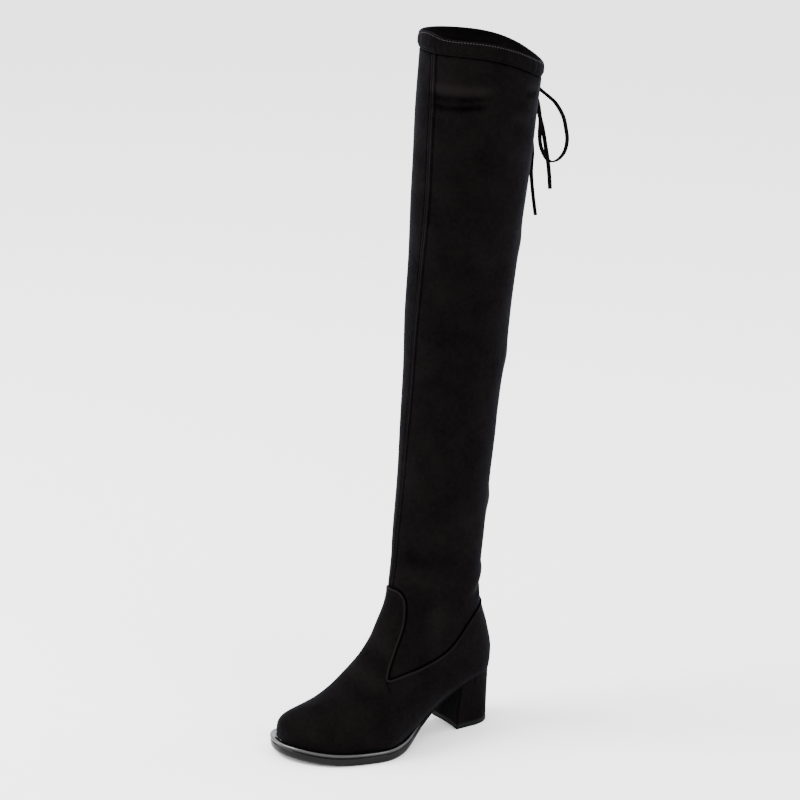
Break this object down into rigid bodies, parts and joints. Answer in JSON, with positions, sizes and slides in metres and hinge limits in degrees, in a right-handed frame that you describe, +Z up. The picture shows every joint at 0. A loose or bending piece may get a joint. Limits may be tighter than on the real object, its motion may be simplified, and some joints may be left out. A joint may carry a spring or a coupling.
{
  "type": "thigh-high boot",
  "caption": "Tall stretch boot in black faux suede: round toe, block heel, overlaid vamp and counter, drawstring collar tied in a bow at the back, moulded sole with a raised rim.",
  "frame": {"origin": "middle of the heel's tread, on the floor", "axes": "+Z up the leg, -Y towards the toe, +X the outer side of the left foot"},
  "size_m": [0.1144, 0.2972, 0.6839],
  "materials": {
    "faux_suede": "matte black faux suede with a soft sheen",
    "heel_cover": "the same faux suede wrapped round the heel",
    "lace_suede": "flat faux suede lace",
    "sole_rubber": "smooth black moulded rubber, half gloss",
    "lift_rubber": "dense dark grey heel lift",
    "insole_cloth": "dark sock lining cloth"
  },
  "bodies": {
    "root": {"upper": "faux_suede", "shaft": "faux_suede", "drawstring_casing": "faux_suede", "outsole": "sole_rubber", "insole": "insole_cloth", "heel_block": "heel_cover", "top_lift": "lift_rubber", "drawstring_knot": "lace_suede", "drawstring_loop_outer": "lace_suede", "drawstring_loop_inner": "lace_suede", "drawstring_end_outer": "lace_suede", "drawstring_end_inner": "lace_suede"}
  },
  "joints": []
}
